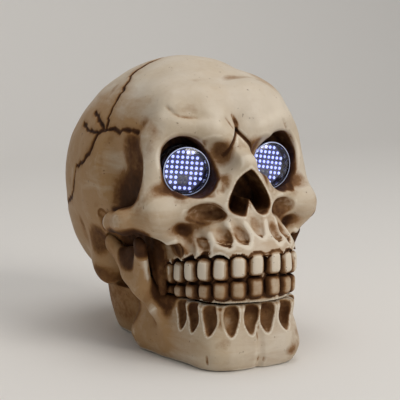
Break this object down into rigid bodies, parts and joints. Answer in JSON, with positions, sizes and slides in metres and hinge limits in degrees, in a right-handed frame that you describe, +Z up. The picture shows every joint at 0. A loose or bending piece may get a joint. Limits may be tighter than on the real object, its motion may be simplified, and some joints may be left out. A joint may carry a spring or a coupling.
{
  "type": "light-up skull decoration",
  "caption": "Life-like skull decoration in antiqued cream resin with dot-matrix light eyes behind clear round caps; a battery box and a slide switch are let into its flat base.",
  "frame": {"origin": "middle of the bottom of the whole object's box", "axes": "+Z up, the face looks along -Y, +X to the right of someone facing it"},
  "size_m": [0.1258, 0.1762, 0.1601],
  "materials": {
    "resin": "cast polyresin, cream with a dark brown wash rubbed into the hollows",
    "lens_clear": "clear moulded cap",
    "led_lit": "dot matrix, lit blue-white",
    "black_plastic": "moulded black",
    "cell_wrap": "plain wrapped cell",
    "steel": "plated",
    "board_green": "board lacquer",
    "wire_red": "insulated wire",
    "wire_black": "insulated wire"
  },
  "bodies": {
    "skull": {"cranium": "resin", "jaw_base": "resin", "eye_lens_right": "lens_clear", "eye_lens_left": "lens_clear", "led_matrix_right": "led_lit", "led_matrix_left": "led_lit", "eye_cup_right": "black_plastic", "eye_cup_left": "black_plastic", "battery_box": "black_plastic", "battery_1": "cell_wrap", "battery_2": "cell_wrap", "battery_3": "cell_wrap", "contact_positive": "steel", "contact_bridge_rear": "steel", "contact_bridge_front": "steel", "contact_negative": "steel", "controller_board": "board_green", "controller_chip": "black_plastic", "switch_body": "black_plastic", "box_screw_1": "steel", "box_screw_2": "steel", "board_screw_1": "steel", "board_screw_2": "steel", "harness_right": "wire_black", "harness_left": "wire_black", "power_lead_red": "wire_red", "power_lead_black": "wire_black", "switch_lead": "wire_red"},
    "door": {"battery_door": "black_plastic"},
    "knob": {"switch_knob": "black_plastic"}
  },
  "joints": [
    {"name": "door_hinge", "type": "hinge", "parent": "skull", "child": "door", "pos_m": [0, -0.06608, 0.0017], "axis": [-1, 0, 0], "range_deg": [0, 95]},
    {"name": "switch_slide", "type": "slide", "parent": "skull", "child": "knob", "axis": [-1, 0, 0], "range_m": [0, 0.004]}
  ]
}
